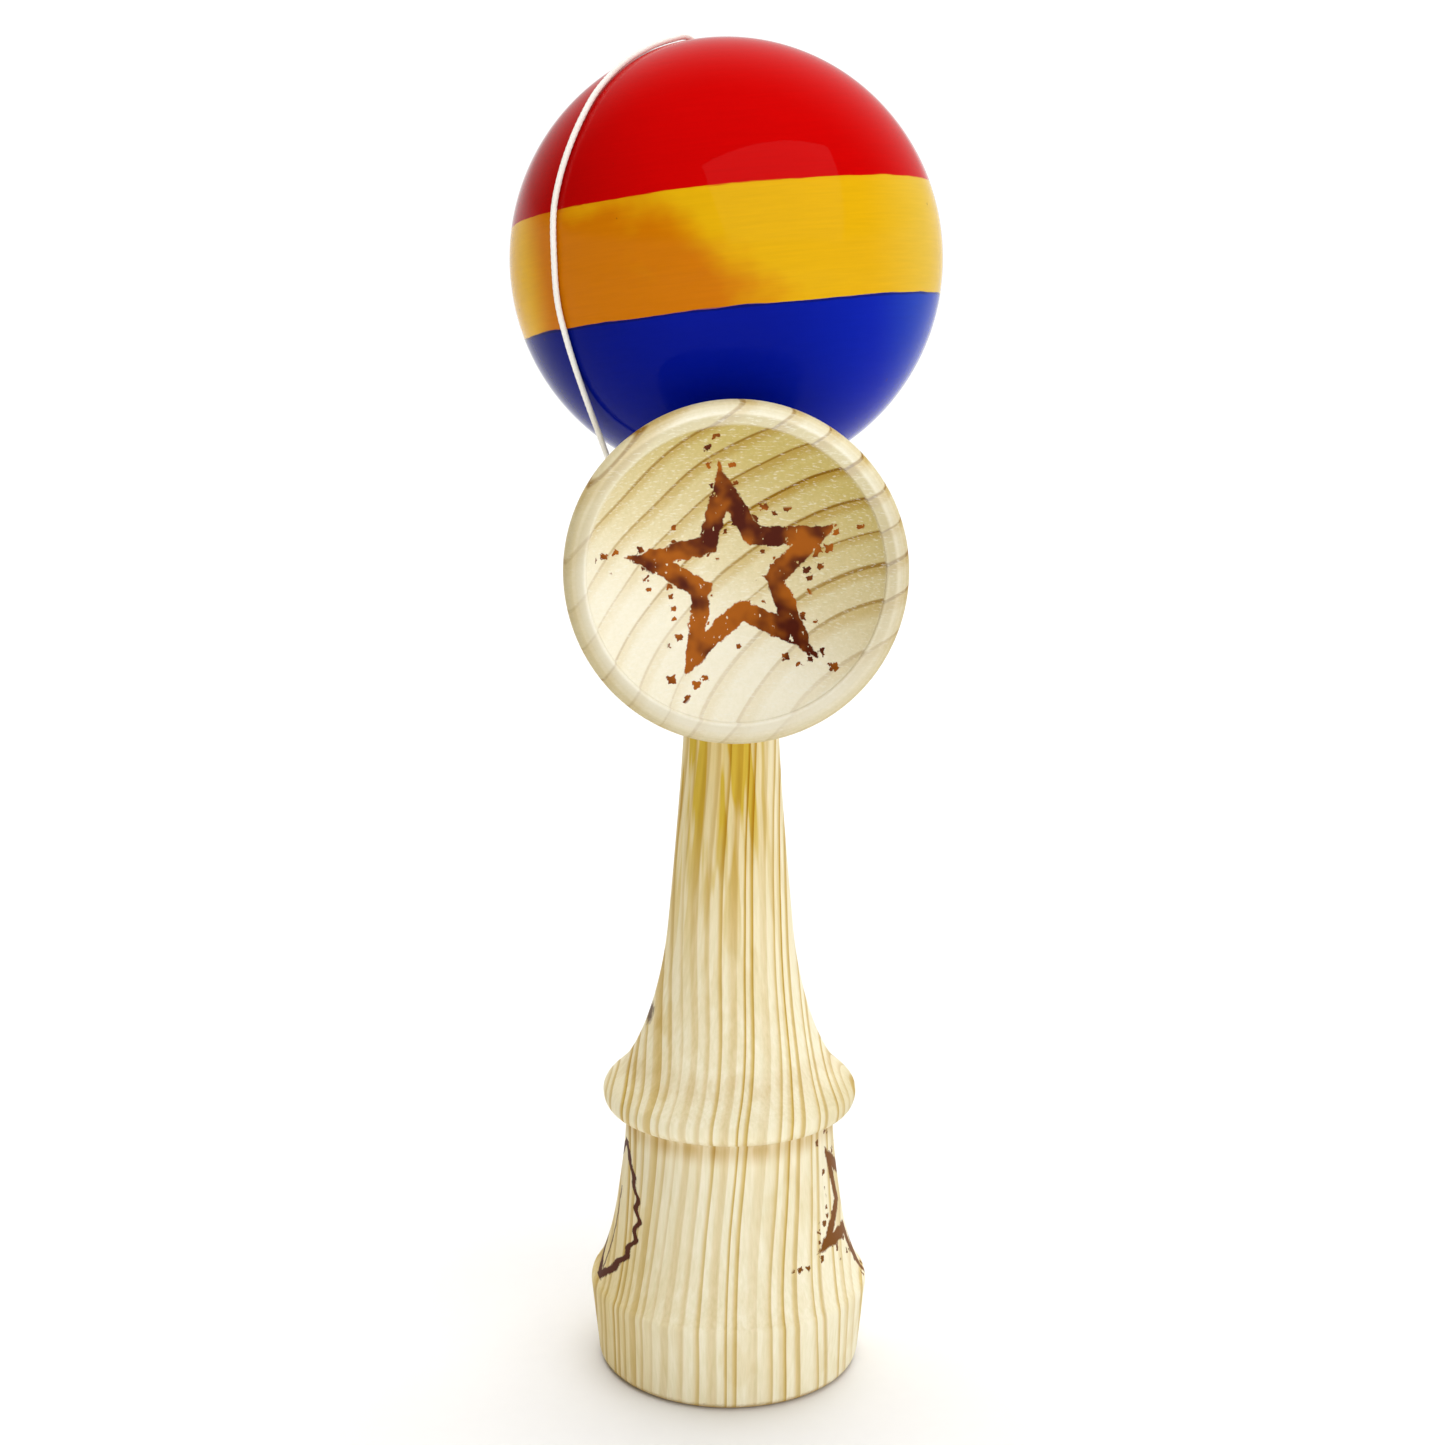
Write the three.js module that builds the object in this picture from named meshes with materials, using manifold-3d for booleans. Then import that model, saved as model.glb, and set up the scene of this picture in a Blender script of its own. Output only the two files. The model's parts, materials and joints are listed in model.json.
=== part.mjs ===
// A kendama: a turned handle with a spike (the ken), a crosspiece with two cups (the sarado) and
// a ball (the tama) on a string. Millimetres, +Z up. The origin is on the handle's axis, in the
// plane of the base rim. The big cup faces -Y, and the string leaves the crosspiece on +X.

import * as THREE from 'three';
import { mergeVertices } from 'three/addons/utils/BufferGeometryUtils.js';
import Module from 'manifold-3d';

// ---- driving dimensions --------------------------------------------------------------------

const SIDES = 36; // facets round each large turned piece
const CURVE_STEPS = 4; // straight pieces per curved stretch of an outline
const GAP = 0.3; // between pieces that fit together

const KEN_HEIGHT = 166;
const BASE_RIM_RADIUS = 18; // outer edge of the flat rim that the handle stands on
const BASE_BOWL_RADIUS = 15.9;
const BASE_BOWL_DEPTH = 7.4;
const BASE_LIP = 0.7;
const FOOT_RADIUS = 20.9; // ridge at the top of the foot band
const CREASE_RADIUS = 15.5;
const COLLAR_RADIUS = 18.9;
const TAPER_LOW = new THREE.Vector2(6.95, 96); // the straight taper that the crosspiece grips
const TAPER_HIGH = new THREE.Vector2(5.9, 136);

const CROSS_HEIGHT = 124.2; // axis of the crosspiece above the base
const WAIST_RADIUS = 10.5;
const BIG_CUP = { radius: 22.1, front: 35.5, bowlRadius: 19, bowlDepth: 8.6, lip: 1 };
const SMALL_CUP = { radius: 19.6, front: 34.5, bowlRadius: 16.7, bowlDepth: 7.6, lip: 0.9 };

const BALL_RADIUS = 30;
const BALL_CENTRE = new THREE.Vector3(-1, 0, 163.3);
const BALL_LEAN_LEFT = THREE.MathUtils.degToRad(6.3); // the ball rocks on the crosspiece
const BALL_LEAN_BACK = THREE.MathUtils.degToRad(3.9);
const SPIKE_HOLE_RADIUS = 10.9;
const SPIKE_HOLE_MOUTH = 12.3;
const SPIKE_HOLE_BEVEL = 1.9;
const SPIKE_HOLE_END = 9; // where its cone starts, above the ball's centre
const STRING_HOLE_RADIUS = 1.8;
const STRING_HOLE_END = 15.9;
const STRING_HOLE_LIP = 1.6;

const BEAD_RADIUS = 3.5;
const BEAD_HOLE_RADIUS = 0.8;
const BEAD_HEIGHT = 12.1; // above the ball's centre, along its axis
const KNOT_RADIUS = 1.25;

const STRING_RADIUS = 0.4;
const STRING_STEP = 2; // length of one straight piece of the string
const CROSS_HOLE_RADIUS = 1;
const KNOT_POCKET_RADIUS = 1.8;
const KNOT_POCKET_FLOOR = -2.4; // x of the pocket's inner end
const WINDING = { low: 105.6, high: 110.6, radius: 8.5 };

// The string's route from its knot in the ken, out of the crosspiece and down to the winding.
const TAIL_ROUTE = [
  [-2.7, 0, 124.2],
  [2, 0, 124.2],
  [6.5, 0, 124.2],
  [10.8, 0, 124.2],
  [12.1, 0.05, 123.9],
  [12.95, 0.2, 123.05],
  [13.2, 0.4, 121.9],
  [12.9, 0.8, 120.2],
  [11.9, 1.5, 117.7],
  [10.2, 2.6, 115],
  [8.2, 3.8, 112.8],
  [6.9, 4.5, 111.7],
];

// Its route from the winding, up the ball's left side and down through the hole in its top.
const RUN_ROUTE = [
  [-8.3, -0.4, 111.3],
  [-8.8, -1.7, 112.8],
  [-10.6, -4.6, 117.5],
  [-13.6, -8.4, 126],
  [-17, -12.9, 137],
  [-20.3, -17.3, 147],
  [-22.1, -19.6, 153.2],
  [-23.2, -20.3, 158.1],
  [-23.6, -20.5, 164.5],
  [-23.6, -19.5, 169.7],
  [-22.9, -18.6, 173.6],
  [-21.8, -17.4, 177.3],
  [-20.2, -15.5, 181.3],
  [-18.1, -12.5, 185.3],
  [-14.7, -8.5, 189.2],
  [-11.4, -5, 191.5],
  [-8.4, -2.1, 192.85],
  [-6.75, -0.35, 193.35],
  [-5.9, 0.4, 193.1],
  [-5.25, 0.9, 192.35],
  [-4.95, 1.05, 191.2],
  [-4.7, 0.9, 189],
  [-3.7, 1, 184.1],
  [-2.7, 1.05, 178.7],
  [-1.95, 0.6, 171.8],
];
const RUN_SPLIT = 17; // length of the run that belongs to the handle; the rest lifts with the ball

// ---- materials -----------------------------------------------------------------------------

function material(color, roughness) {
  return new THREE.MeshStandardMaterial({ color, roughness, metalness: 0 });
}

const PALE_WOOD = material(0xe9d9b4, 0.6);
const LACQUER = material(0xc80a12, 0.12);
const BEAD_PLASTIC = material(0xd8c49a, 0.4);
const COTTON = material(0xf2efe6, 0.85);

// ---- solids --------------------------------------------------------------------------------

const wasm = await Module();
wasm.setup();

// Only positions, with shared corners merged and triangles of no area left out.
function welded(geometry) {
  const bare = geometry.clone();
  bare.deleteAttribute('normal');
  bare.deleteAttribute('uv');
  const merged = mergeVertices(bare);
  const index = merged.index.array;
  const kept = [];
  for (let i = 0; i < index.length; i += 3) {
    const [a, b, c] = index.slice(i, i + 3);
    if (a !== b && b !== c && c !== a) kept.push(a, b, c);
  }
  merged.setIndex(kept);
  return merged;
}

function solid(geometry) {
  const merged = welded(geometry);
  const vertProperties = new Float32Array(merged.attributes.position.array);
  const triVerts = new Uint32Array(merged.index.array);
  return new wasm.Manifold(new wasm.Mesh({ numProp: 3, vertProperties, triVerts }));
}

function geometryOf(body) {
  const mesh = body.getMesh();
  const geometry = new THREE.BufferGeometry();
  geometry.setAttribute('position', new THREE.BufferAttribute(mesh.vertProperties, 3));
  geometry.setIndex(new THREE.BufferAttribute(mesh.triVerts, 1));
  geometry.computeVertexNormals();
  return geometry;
}

// Turns an outline of (radius, height) about +Z. It runs upwards on the outside.
function turned(outline, sides = SIDES) {
  const geometry = new THREE.LatheGeometry(outline.getPoints(CURVE_STEPS), sides);
  return geometry.rotateX(Math.PI / 2);
}

// Radius of the ball that would fit a bowl.
function bowlSphere(rimRadius, depth) {
  return (rimRadius ** 2 + depth ** 2) / (2 * depth);
}

// Starts an outline with a bowl that opens downwards, from its middle out to its rim.
function lowerBowl(outline, rimHeight, rimRadius, depth) {
  const sphere = bowlSphere(rimRadius, depth);
  const reach = Math.asin(rimRadius / sphere);
  outline.absarc(0, rimHeight + depth - sphere, sphere, Math.PI / 2, Math.PI / 2 - reach, true);
}

// Ends an outline with a bowl that opens upwards, from its rim in to its middle.
function upperBowl(outline, rimHeight, rimRadius, depth) {
  const sphere = bowlSphere(rimRadius, depth);
  const reach = Math.asin(rimRadius / sphere);
  outline.absarc(0, rimHeight - depth + sphere, sphere, reach - Math.PI / 2, -Math.PI / 2, true);
}

function taperRadius(z) {
  return THREE.MathUtils.mapLinear(z, TAPER_LOW.y, TAPER_HIGH.y, TAPER_LOW.x, TAPER_HIGH.x);
}

// A round bar along X, for cutting.
function barAlongX(radius, from, to) {
  const bar = new THREE.CylinderGeometry(radius, radius, to - from, 16);
  return solid(bar.rotateZ(Math.PI / 2).translate((from + to) / 2, 0, 0));
}

// ---- ken -----------------------------------------------------------------------------------

function kenOutline() {
  const outline = new THREE.Path();
  lowerBowl(outline, BASE_LIP, BASE_BOWL_RADIUS, BASE_BOWL_DEPTH);
  outline.quadraticCurveTo(BASE_BOWL_RADIUS + 0.3, 0, BASE_BOWL_RADIUS + 0.8, 0);
  outline.lineTo(BASE_RIM_RADIUS, 0);
  outline.quadraticCurveTo(BASE_RIM_RADIUS + 1.5, 0, BASE_RIM_RADIUS + 1.75, 1.5);
  // foot band, ridge and cove
  outline.lineTo(FOOT_RADIUS - 0.1, 11.4);
  outline.quadraticCurveTo(FOOT_RADIUS + 0.15, 12.9, FOOT_RADIUS - 0.6, 13.4);
  outline.bezierCurveTo(18.7, 16, 17.5, 20.3, 16.86, 25);
  outline.bezierCurveTo(16.4, 28.5, 15.6, 33, CREASE_RADIUS, 38.6);
  // collar
  outline.bezierCurveTo(15.7, 40.4, 18.7, 39, COLLAR_RADIUS, 42.2);
  outline.bezierCurveTo(COLLAR_RADIUS + 0.1, 44.1, 16.6, 44.7, 15.1, 47.2);
  // neck
  outline.bezierCurveTo(12.3, 51.6, 10.1, 59.4, 9.3, 67);
  outline.bezierCurveTo(8.6, 74.5, 7.5, 86, TAPER_LOW.x, TAPER_LOW.y);
  outline.lineTo(TAPER_HIGH.x, TAPER_HIGH.y);
  // spike
  outline.lineTo(4.4, KEN_HEIGHT - 4.5);
  outline.bezierCurveTo(4.1, KEN_HEIGHT - 1.2, 2.4, KEN_HEIGHT, 0, KEN_HEIGHT);
  return outline;
}

function ken() {
  const stringHole = barAlongX(CROSS_HOLE_RADIUS, -10, 10);
  const knotPocket = barAlongX(KNOT_POCKET_RADIUS, -10, KNOT_POCKET_FLOOR);
  const cuts = stringHole.add(knotPocket).translate([0, 0, CROSS_HEIGHT]);
  return geometryOf(solid(turned(kenOutline())).subtract(cuts));
}

// ---- sarado, in its own frame: its axis is Y and its middle is the origin ---------------------

function saradoOutline() {
  const outline = new THREE.Path();
  const small = SMALL_CUP;
  const big = BIG_CUP;
  lowerBowl(outline, small.lip - small.front, small.bowlRadius, small.bowlDepth);
  outline.quadraticCurveTo(small.bowlRadius + 0.4, -small.front, small.radius - 1.4, -small.front);
  outline.quadraticCurveTo(small.radius, -small.front, small.radius, 2.4 - small.front);
  outline.bezierCurveTo(small.radius - 0.4, -26, 13.1, -20, 11.7, -15);
  outline.quadraticCurveTo(WAIST_RADIUS, -11, WAIST_RADIUS, -5);
  outline.lineTo(WAIST_RADIUS, 5);
  outline.quadraticCurveTo(WAIST_RADIUS, 11, 11.7, 15);
  outline.bezierCurveTo(13.3, 20.5, 21.3, 25.5, big.radius, big.front - 2.9);
  outline.quadraticCurveTo(big.radius, big.front, big.radius - 1.5, big.front);
  outline.quadraticCurveTo(big.bowlRadius + 0.4, big.front, big.bowlRadius, big.front - big.lip);
  upperBowl(outline, big.front - big.lip, big.bowlRadius, big.bowlDepth);
  return outline;
}

function sarado() {
  const body = solid(turned(saradoOutline()).rotateX(Math.PI / 2));
  const reach = WAIST_RADIUS + 2;
  const kenHole = new THREE.CylinderGeometry(
    taperRadius(CROSS_HEIGHT + reach) + GAP,
    taperRadius(CROSS_HEIGHT - reach) + GAP,
    2 * reach,
    SIDES,
  );
  const cut = solid(kenHole.rotateX(Math.PI / 2)).add(barAlongX(CROSS_HOLE_RADIUS, 0, reach));
  return geometryOf(body.subtract(cut));
}

// ---- tama, bead and knots, in frames whose +Z runs through the two holes ------------------------

function tamaOutline() {
  const outline = new THREE.Path();
  const lipRadius = STRING_HOLE_RADIUS + STRING_HOLE_LIP;
  const mouthAngle = -Math.acos(SPIKE_HOLE_MOUTH / BALL_RADIUS);
  const topAngle = Math.acos(lipRadius / BALL_RADIUS);
  const lipHeight = Math.sqrt(BALL_RADIUS ** 2 - lipRadius ** 2) - STRING_HOLE_LIP;
  const bands = 4; // the sphere's outline is drawn in arcs of equal angle
  for (let i = 0; i < bands; i++) {
    const from = THREE.MathUtils.lerp(mouthAngle, topAngle, i / bands);
    const to = THREE.MathUtils.lerp(mouthAngle, topAngle, (i + 1) / bands);
    outline.absarc(0, 0, BALL_RADIUS, from, to, false);
  }
  outline.quadraticCurveTo(STRING_HOLE_RADIUS, lipHeight + STRING_HOLE_LIP, STRING_HOLE_RADIUS, lipHeight);
  outline.lineTo(STRING_HOLE_RADIUS, STRING_HOLE_END);
  outline.lineTo(SPIKE_HOLE_RADIUS, SPIKE_HOLE_END);
  outline.lineTo(SPIKE_HOLE_RADIUS, BALL_RADIUS * Math.sin(mouthAngle) + SPIKE_HOLE_BEVEL);
  outline.closePath();
  return outline;
}

function beadOutline() {
  const outline = new THREE.Path();
  const edge = Math.acos(BEAD_HOLE_RADIUS / BEAD_RADIUS);
  outline.absarc(0, 0, BEAD_RADIUS, -edge, edge, false);
  outline.closePath();
  return outline;
}

function knot() {
  return new THREE.SphereGeometry(KNOT_RADIUS, 12, 8);
}

// ---- string --------------------------------------------------------------------------------

function routeCurve(points) {
  return new THREE.CatmullRomCurve3(points.map((point) => new THREE.Vector3(...point)));
}

// The part of a curve between two lengths along it.
class Stretch extends THREE.Curve {
  constructor(whole, from, to) {
    super();
    Object.assign(this, { whole, from, to });
  }

  getPoint(t, target) {
    const along = THREE.MathUtils.lerp(this.from, this.to, t);
    return this.whole.getPointAt(along / this.whole.getLength(), target);
  }
}

function stringSection() {
  const corners = [];
  for (let i = 0; i < 8; i++) {
    const angle = (i * Math.PI) / 4;
    corners.push(new THREE.Vector2(Math.cos(angle), Math.sin(angle)).multiplyScalar(STRING_RADIUS));
  }
  return new THREE.Shape(corners);
}

function stringAlong(curve) {
  const steps = Math.ceil(curve.getLength() / STRING_STEP);
  const options = { steps, bevelEnabled: false, extrudePath: curve };
  return new THREE.ExtrudeGeometry(stringSection(), options);
}

// The outer shape of the turns wound round the neck, as one ring.
function windingOutline() {
  const outline = new THREE.Path();
  outline.moveTo(taperRadius(WINDING.low) + GAP, WINDING.low);
  outline.lineTo(WINDING.radius, WINDING.low);
  outline.lineTo(WINDING.radius, WINDING.high);
  outline.lineTo(taperRadius(WINDING.high) + GAP, WINDING.high);
  outline.closePath();
  return outline;
}

// ---- assembly ------------------------------------------------------------------------------

function piece(name, geometry, look) {
  const mesh = new THREE.Mesh(geometry, look);
  mesh.name = name;
  return mesh;
}

const kendama = new THREE.Group();
kendama.add(piece('ken', ken(), PALE_WOOD));

const crosspiece = piece('sarado', sarado(), PALE_WOOD);
crosspiece.position.z = CROSS_HEIGHT;
kendama.add(crosspiece);

const ball = new THREE.Group();
const ballAxis = new THREE.Vector3(-Math.tan(BALL_LEAN_LEFT), Math.tan(BALL_LEAN_BACK), 1);
ball.position.copy(BALL_CENTRE);
ball.quaternion.setFromUnitVectors(new THREE.Vector3(0, 0, 1), ballAxis.normalize());
ball.add(piece('tama', turned(tamaOutline()), LACQUER));
const bead = piece('bead', turned(beadOutline(), 16), BEAD_PLASTIC);
bead.position.z = BEAD_HEIGHT;
const beadKnot = piece('knot_bead', knot(), COTTON);
beadKnot.position.z = BEAD_HEIGHT - BEAD_RADIUS - KNOT_RADIUS - GAP / 2;
ball.add(bead, beadKnot);
kendama.add(ball);

const kenKnot = piece('knot_ken', knot(), COTTON);
kenKnot.position.set(TAIL_ROUTE[0][0] - KNOT_RADIUS - GAP, 0, CROSS_HEIGHT);
kendama.add(kenKnot);

const run = routeCurve(RUN_ROUTE);
const lowerRun = new Stretch(run, 0, RUN_SPLIT);
const upperRun = new Stretch(run, RUN_SPLIT + GAP, run.getLength());
kendama.add(
  piece('string_tail', stringAlong(routeCurve(TAIL_ROUTE)), COTTON),
  piece('string_winding', turned(windingOutline(), 24), COTTON),
  piece('string_run_lower', stringAlong(lowerRun), COTTON),
  piece('string_run_upper', stringAlong(upperRun), COTTON),
);

export default kendama;
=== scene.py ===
"""A kendama: pale turned handle and crosspiece, banded lacquered ball and a white string.

Metres, +Z up, in the CAD frame. Outlines of turned pieces are in millimetres and are scaled by MM.
"""

import json
import math
from collections import namedtuple

import bpy
from mathutils import Matrix, Vector


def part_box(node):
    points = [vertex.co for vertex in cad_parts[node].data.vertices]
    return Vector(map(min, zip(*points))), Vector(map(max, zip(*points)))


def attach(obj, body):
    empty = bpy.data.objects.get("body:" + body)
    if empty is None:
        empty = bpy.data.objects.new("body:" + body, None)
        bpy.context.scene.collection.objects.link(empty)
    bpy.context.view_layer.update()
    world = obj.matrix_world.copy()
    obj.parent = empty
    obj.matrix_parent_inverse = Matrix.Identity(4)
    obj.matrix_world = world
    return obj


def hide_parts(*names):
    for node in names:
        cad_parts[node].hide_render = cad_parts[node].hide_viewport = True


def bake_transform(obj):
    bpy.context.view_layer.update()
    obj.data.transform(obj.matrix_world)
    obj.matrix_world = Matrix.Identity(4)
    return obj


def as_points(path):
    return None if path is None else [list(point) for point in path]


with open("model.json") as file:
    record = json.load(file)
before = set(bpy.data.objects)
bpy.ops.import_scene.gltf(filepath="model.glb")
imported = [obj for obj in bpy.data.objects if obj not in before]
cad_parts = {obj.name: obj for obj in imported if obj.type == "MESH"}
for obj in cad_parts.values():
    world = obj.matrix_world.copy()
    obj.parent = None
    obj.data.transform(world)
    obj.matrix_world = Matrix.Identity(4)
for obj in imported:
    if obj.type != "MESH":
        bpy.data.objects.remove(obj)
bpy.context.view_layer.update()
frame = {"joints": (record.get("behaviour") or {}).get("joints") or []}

MM = 0.001
JOINTS = {joint["name"]: joint for joint in frame["joints"]}
BALL_AXIS = Vector(JOINTS["tama_spin"]["axis"]).normalized()
BALL_CENTRE = Vector(JOINTS["tama_spin"]["pos_m"])

_, KEN_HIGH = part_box("ken")
CROSS_LOW, CROSS_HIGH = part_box("sarado")
CROSS_HEIGHT = (CROSS_LOW.z + CROSS_HIGH.z) / 2
BALL_RADIUS = 0.030
BEAD_LOW, BEAD_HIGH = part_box("bead")
BEAD_RADIUS = (BEAD_HIGH.z - BEAD_LOW.z) / 2
BEAD_CENTRE = (BEAD_LOW + BEAD_HIGH) / 2

# ---- camera --------------------------------------------------------------------------------

CAMERA_PLACE = (-0.00497, -0.30667, 0.16078)
CAMERA_DOWN = 0.2016  # how far it looks below the horizon, in radians
CAMERA_YAW = -0.0121
CAMERA_ROLL = 0.004
CAMERA_LENS = 53.78  # millimetres, on a sensor 36 mm wide


def make_camera():
    data = bpy.data.cameras.new("camera")
    data.lens = CAMERA_LENS
    data.sensor_width = 36
    data.clip_start = 0.01
    camera = bpy.data.objects.new("camera", data)
    bpy.context.scene.collection.objects.link(camera)
    yaw = Matrix.Rotation(CAMERA_YAW, 4, "Z")
    pitch = Matrix.Rotation(math.pi / 2 - CAMERA_DOWN, 4, "X")
    roll = Matrix.Rotation(CAMERA_ROLL, 4, "Z")
    camera.matrix_world = Matrix.Translation(CAMERA_PLACE) @ yaw @ pitch @ roll
    bpy.context.scene.camera = camera


make_camera()

# ---- mesh helpers ----------------------------------------------------------------------------

SHARP_ABOVE = 0.6  # edges that turn by more than this many radians stay crisp


def add_object(name, verts, faces):
    mesh = bpy.data.meshes.new(name)
    mesh.from_pydata([tuple(v) for v in verts], [], faces)
    mesh.update()
    for polygon in mesh.polygons:
        polygon.use_smooth = True
    mesh.set_sharp_from_angle(angle=SHARP_ABOVE)
    made = bpy.data.objects.new(name, mesh)
    bpy.context.scene.collection.objects.link(made)
    return made


def catmull_rom(points, step):
    """Points about one step apart on a smooth curve through the given ones (centripetal)."""
    pts = [Vector(p) for p in points]
    pts = [2 * pts[0] - pts[1], *pts, 2 * pts[-1] - pts[-2]]
    line = []
    for a, b, c, d in zip(pts, pts[1:], pts[2:], pts[3:]):
        t1 = (b - a).length ** 0.5
        t2 = t1 + (c - b).length ** 0.5
        t3 = t2 + (d - c).length ** 0.5
        count = max(1, round((c - b).length / step))
        for i in range(count):
            t = t1 + (t2 - t1) * i / count
            ab = a.lerp(b, t / t1)
            bc = b.lerp(c, (t - t1) / (t2 - t1))
            cd = c.lerp(d, (t - t2) / (t3 - t2))
            abc = ab.lerp(bc, t / t2)
            bcd = bc.lerp(cd, (t - t1) / (t3 - t1))
            line.append(abc.lerp(bcd, (t - t1) / (t2 - t1)))
    line.append(pts[-2])
    return line


def tube(name, line, radius_at, sides, closed=False):
    """A tube round a line. radius_at(angle, length along) gives its section."""
    count = len(line)
    verts, faces = [], []
    ahead = (line[1] - line[-1 if closed else 0]).normalized()
    side = ahead.orthogonal().normalized()
    along = 0.0
    for i, centre in enumerate(line):
        before = line[i - 1] if closed or i else line[0]
        after = line[(i + 1) % count] if closed or i < count - 1 else line[-1]
        turned_to = (after - before).normalized()
        side.rotate(ahead.rotation_difference(turned_to))
        side = (side - turned_to * side.dot(turned_to)).normalized()
        ahead = turned_to
        up = ahead.cross(side)
        if i:
            along += (centre - line[i - 1]).length
        for k in range(sides):
            angle = 2 * math.pi * k / sides
            reach = radius_at(angle, along)
            verts.append(centre + reach * (math.cos(angle) * side + math.sin(angle) * up))
    rings = count if closed else count - 1
    for i in range(rings):
        j = (i + 1) % count
        for k in range(sides):
            m = (k + 1) % sides
            faces.append((i * sides + k, i * sides + m, j * sides + m, j * sides + k))
    if not closed:
        faces.append(tuple(reversed(range(sides))))
        faces.append(tuple((count - 1) * sides + k for k in range(sides)))
    return add_object(name, verts, faces)


class Outline:
    """Half a section of a turned piece, as (radius, height) in millimetres."""

    def __init__(self, radius, height):
        self.points = [(radius, height)]

    def _add(self, at, steps):
        self.points += [at(i / steps) for i in range(1, steps + 1)]

    def line(self, radius, height, steps=1):
        r0, h0 = self.points[-1]
        self._add(lambda t: (r0 + (radius - r0) * t, h0 + (height - h0) * t), steps)

    def cubic(self, c1, c2, end, steps=22):
        p0 = self.points[-1]

        def at(t):
            weights = ((1 - t) ** 3, 3 * t * (1 - t) ** 2, 3 * t * t * (1 - t), t**3)
            return tuple(
                sum(w * p[axis] for w, p in zip(weights, (p0, c1, c2, end))) for axis in (0, 1)
            )

        self._add(at, steps)

    def quad(self, control, end, steps=12):
        p0 = self.points[-1]
        c1 = tuple(a + (b - a) * 2 / 3 for a, b in zip(p0, control))
        c2 = tuple(a + (b - a) * 2 / 3 for a, b in zip(end, control))
        self.cubic(c1, c2, end, steps)

    def arc(self, height, radius, start, end, steps=30):
        def at(t):
            angle = start + (end - start) * t
            return (max(0.0, radius * math.cos(angle)), height + radius * math.sin(angle))

        self._add(at, steps)

    def bowl_out(self, rim_height, rim_radius, depth):
        """From the middle of a bowl that opens downwards, out to its rim."""
        sphere, reach = bowl_sphere(rim_radius, depth)
        self.arc(rim_height + depth - sphere, sphere, math.pi / 2, math.pi / 2 - reach)

    def bowl_in(self, rim_height, rim_radius, depth):
        """From the rim of a bowl that opens upwards, in to its middle."""
        sphere, reach = bowl_sphere(rim_radius, depth)
        self.arc(rim_height - depth + sphere, sphere, reach - math.pi / 2, -math.pi / 2)


def bowl_sphere(rim_radius, depth):
    sphere = (rim_radius**2 + depth**2) / (2 * depth)
    return sphere, math.asin(rim_radius / sphere)


def turn(name, outline, sides, closed=False, waver=0.0):
    """The outline turned about +Z. waver is how uneven the hand finish is, in millimetres."""
    verts, faces, rings = [], [], []
    for index, (radius, height) in enumerate(outline.points):
        if radius < 1e-6:
            rings.append([len(verts)])
            verts.append((0, 0, height * MM))
            continue
        ring = []
        for k in range(sides):
            angle = 2 * math.pi * k / sides
            swell = math.sin(2 * angle + height * 0.11) * math.sin(3 * angle - height * 0.07)
            ring.append(len(verts))
            reach = (radius + waver * swell) * MM
            verts.append((reach * math.cos(angle), reach * math.sin(angle), height * MM))
        rings.append(ring)
    pairs = list(zip(rings, rings[1:]))
    if closed:
        pairs.append((rings[-1], rings[0]))
    for low, high in pairs:
        for k in range(sides):
            m = (k + 1) % sides
            if len(low) == 1:
                faces.append((low[0], high[m], high[k]))
            elif len(high) == 1:
                faces.append((low[k], low[m], high[0]))
            else:
                faces.append((low[k], low[m], high[m], high[k]))
    return add_object(name, verts, faces)


def cut(piece, cutter):
    """Cuts one mesh with another, which is then removed."""
    modifier = piece.modifiers.new("cut", "BOOLEAN")
    modifier.operation = "DIFFERENCE"
    modifier.solver = "EXACT"
    modifier.object = cutter
    depsgraph = bpy.context.evaluated_depsgraph_get()
    mesh = bpy.data.meshes.new_from_object(piece.evaluated_get(depsgraph))
    piece.modifiers.clear()
    old = piece.data
    piece.data = mesh
    bpy.data.meshes.remove(old)
    bpy.data.objects.remove(cutter)
    piece.data.set_sharp_from_angle(angle=SHARP_ABOVE)


def bar(name, start, end, radius_start, radius_end, sides=48):
    """A round bar between two points, for cutting."""
    axis = Vector(end) - Vector(start)
    outline = Outline(0, 0)
    outline.line(radius_start / MM, 0)
    outline.line(radius_end / MM, axis.length / MM)
    outline.line(0, axis.length / MM)
    made = turn(name, outline, sides)
    spin = axis.to_track_quat("Z", "Y").to_matrix().to_4x4()
    made.data.transform(Matrix.Translation(start) @ spin)
    return made


# ---- string ----------------------------------------------------------------------------------

STRING_DIAMETER = 0.0008
STRING_STRANDS = 3
STRING_LAY = 0.0026  # length of one twist
STRING_STEP = 0.0003
STRING_SIDES = 14
# From the knot in the ken, out of the crosspiece and down to the winding.
TAIL_ROUTE = [
    (-0.0027, 0, 0.1242),
    (0.002, 0, 0.1242),
    (0.0065, 0, 0.1242),
    (0.0108, 0, 0.1242),
    (0.0121, 0.00005, 0.1239),
    (0.01295, 0.0002, 0.12305),
    (0.0132, 0.0004, 0.1219),
    (0.0129, 0.0008, 0.1202),
    (0.0119, 0.0015, 0.1177),
    (0.0102, 0.0026, 0.115),
    (0.0082, 0.0038, 0.1128),
    (0.0069, 0.0045, 0.1117),
]
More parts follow.
